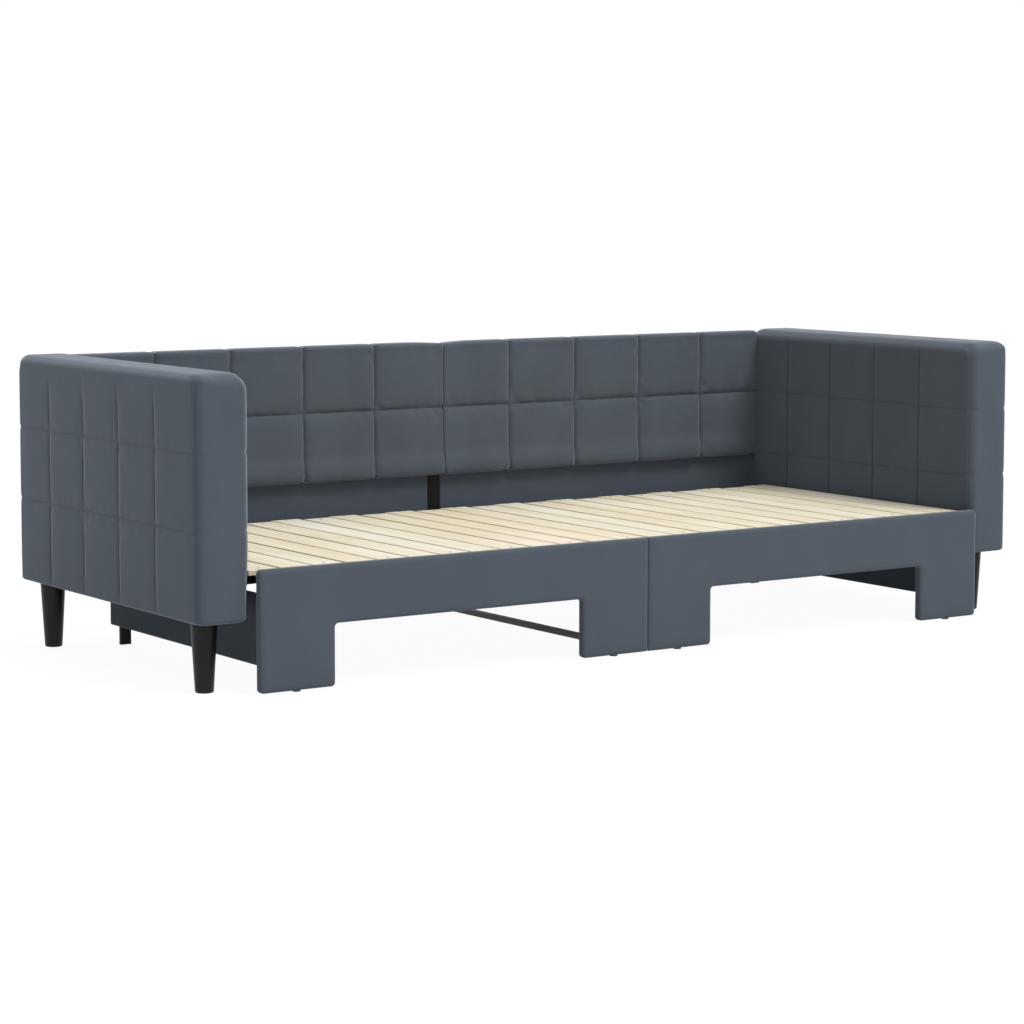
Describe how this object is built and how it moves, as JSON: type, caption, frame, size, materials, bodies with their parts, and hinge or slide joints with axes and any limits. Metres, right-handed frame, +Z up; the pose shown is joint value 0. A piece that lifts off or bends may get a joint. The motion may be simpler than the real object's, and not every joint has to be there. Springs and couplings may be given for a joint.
{
  "type": "trundle bed",
  "caption": "Day bed with quilted velvet arms and back on tapered legs, a slatted deck, and a second slatted frame that pulls out to the front to widen it.",
  "frame": {"origin": "on the floor, in the middle of the bed's length and depth with the trundle pushed in", "axes": "+X along the bed to the right arm, +Y to the back, +Z up"},
  "size_m": [2.254, 0.9, 0.668],
  "materials": {
    "velvet": "dark blue-grey velvet, soft pile",
    "velvet_board": "board wrapped in dark blue-grey velvet",
    "pine": "bare planed pine",
    "timber": "sawn softwood",
    "black_board": "black lining over thin board",
    "black_leg": "black satin paint",
    "black_plastic": "moulded",
    "black_steel": "black powder coat",
    "screw_steel": "zinc plated"
  },
  "bodies": {
    "day_bed": {"arm_left_cover": "velvet", "arm_left_frame": "timber", "arm_right_cover": "velvet", "arm_right_frame": "timber", "arm_bases": "black_board", "leg_front_left": "black_leg", "leg_front_right": "black_leg", "leg_rear_left": "black_leg", "leg_rear_right": "black_leg", "leg_studs": "screw_steel", "back_left_pad": "velvet", "back_right_pad": "velvet", "back_left_board": "velvet_board", "back_right_board": "velvet_board", "back_plates": "black_steel", "back_angles": "black_steel", "back_screws": "screw_steel", "centre_frame": "black_steel", "front_beam": "black_steel", "rear_beam": "black_steel", "beam_brackets": "black_steel", "bracket_bolts": "screw_steel", "fixed_slat_screws": "screw_steel", "fixed_slat_1": "pine", "fixed_slat_2": "pine", "fixed_slat_3": "pine", "fixed_slat_4": "pine", "fixed_slat_5": "pine", "fixed_slat_6": "pine", "fixed_slat_7": "pine", "fixed_slat_8": "pine", "fixed_slat_9": "pine", "fixed_slat_10": "pine", "fixed_slat_11": "pine", "fixed_slat_12": "pine", "fixed_slat_13": "pine"},
    "pull_out_frame": {"front_panel_left": "velvet_board", "front_panel_right": "velvet_board", "panel_joint_plate": "black_steel", "front_ledger": "black_steel", "side_board_left": "velvet_board", "side_board_right": "velvet_board", "corner_angles": "black_steel", "rear_rail": "black_steel", "rear_posts": "black_steel", "floor_glides": "black_plastic", "pull_out_screws": "screw_steel", "moving_slat_screws": "screw_steel", "moving_slat_1": "pine", "moving_slat_2": "pine", "moving_slat_3": "pine", "moving_slat_4": "pine", "moving_slat_5": "pine", "moving_slat_6": "pine", "moving_slat_7": "pine", "moving_slat_8": "pine", "moving_slat_9": "pine", "moving_slat_10": "pine", "moving_slat_11": "pine", "moving_slat_12": "pine"}
  },
  "joints": [
    {"name": "pull_out_slide", "type": "slide", "parent": "day_bed", "child": "pull_out_frame", "axis": [0, -1, 0], "range_m": [0, 0.66]}
  ]
}
